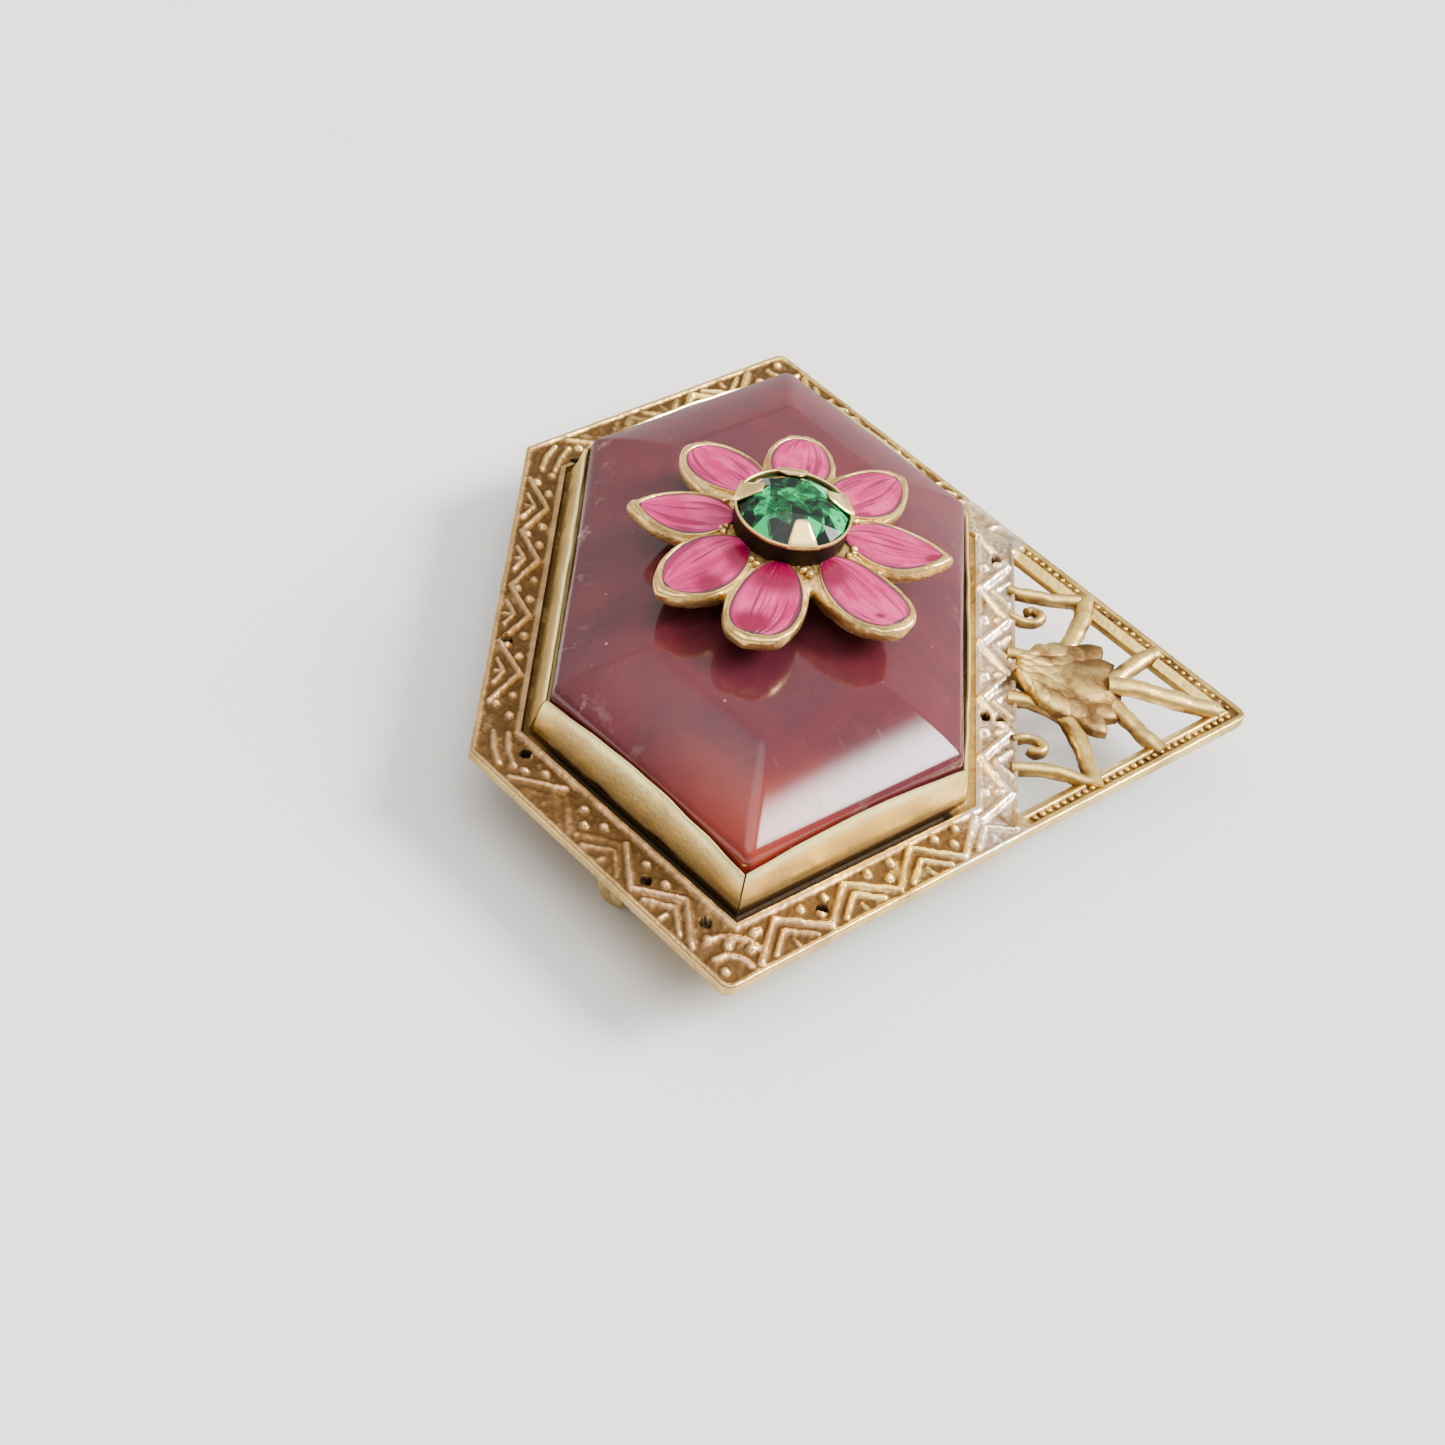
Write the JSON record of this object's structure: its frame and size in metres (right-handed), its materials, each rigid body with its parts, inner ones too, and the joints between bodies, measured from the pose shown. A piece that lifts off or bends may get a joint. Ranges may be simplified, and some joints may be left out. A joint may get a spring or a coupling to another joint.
{
  "type": "brooch",
  "caption": "Kite-shaped stamped brass brooch with a pierced tail, hexagonal glass stone, enamelled flower, green stone, hinged pin and roll-over catch.",
  "frame": {"origin": "middle of the brooch's box in X and Y, at the lowest point of the fittings on its back", "axes": "+Z out of the brooch's face, +X towards the tip of the pierced tail, Y across the plate along the pin"},
  "size_m": [0.0398, 0.0486, 0.0138],
  "materials": {
    "stamped_brass": "stamped, aged, brown patina in the hollows",
    "polished_brass": "worn polish with pits",
    "tin_foil": "dull foil",
    "carnelian_glass": "polished translucent red-brown glass",
    "cast_brass": "satin gilt, worn edges",
    "pink_enamel": "glossy brushed enamel, streaked",
    "cup_brass": "satin, dark sides",
    "emerald_glass": "faceted, foiled behind",
    "rivet_brass": "hammered",
    "fittings_brass": "plain, tarnished",
    "pin_wire": "drawn nickel-silver wire"
  },
  "bodies": {
    "brooch": {"frame_plate": "stamped_brass", "bezel_cup": "polished_brass", "stone_foil": "tin_foil", "stone": "carnelian_glass", "flower_base": "cast_brass", "enamel_petal_1": "pink_enamel", "enamel_petal_2": "pink_enamel", "enamel_petal_3": "pink_enamel", "enamel_petal_4": "pink_enamel", "enamel_petal_5": "pink_enamel", "enamel_petal_6": "pink_enamel", "enamel_petal_7": "pink_enamel", "enamel_petal_8": "pink_enamel", "collet": "cup_brass", "chaton": "emerald_glass", "centre_rivet": "rivet_brass", "rivet_washer": "rivet_brass", "hinge_base": "fittings_brass", "hinge_rivet": "rivet_brass", "catch_housing": "fittings_brass"},
    "pin": {"pin_stem": "pin_wire"},
    "rotor": {"catch_rotor": "fittings_brass"}
  },
  "joints": [
    {"name": "pin_swing", "type": "hinge", "parent": "brooch", "child": "pin", "pos_m": [-0.01086, 0.016, 0.00165], "axis": [1, 0, 0], "range_deg": [0, 100]},
    {"name": "catch_turn", "type": "hinge", "parent": "brooch", "child": "rotor", "pos_m": [-0.01086, -0.0156, 0.00165], "axis": [0, 1, 0], "range_deg": [0, 100]}
  ]
}
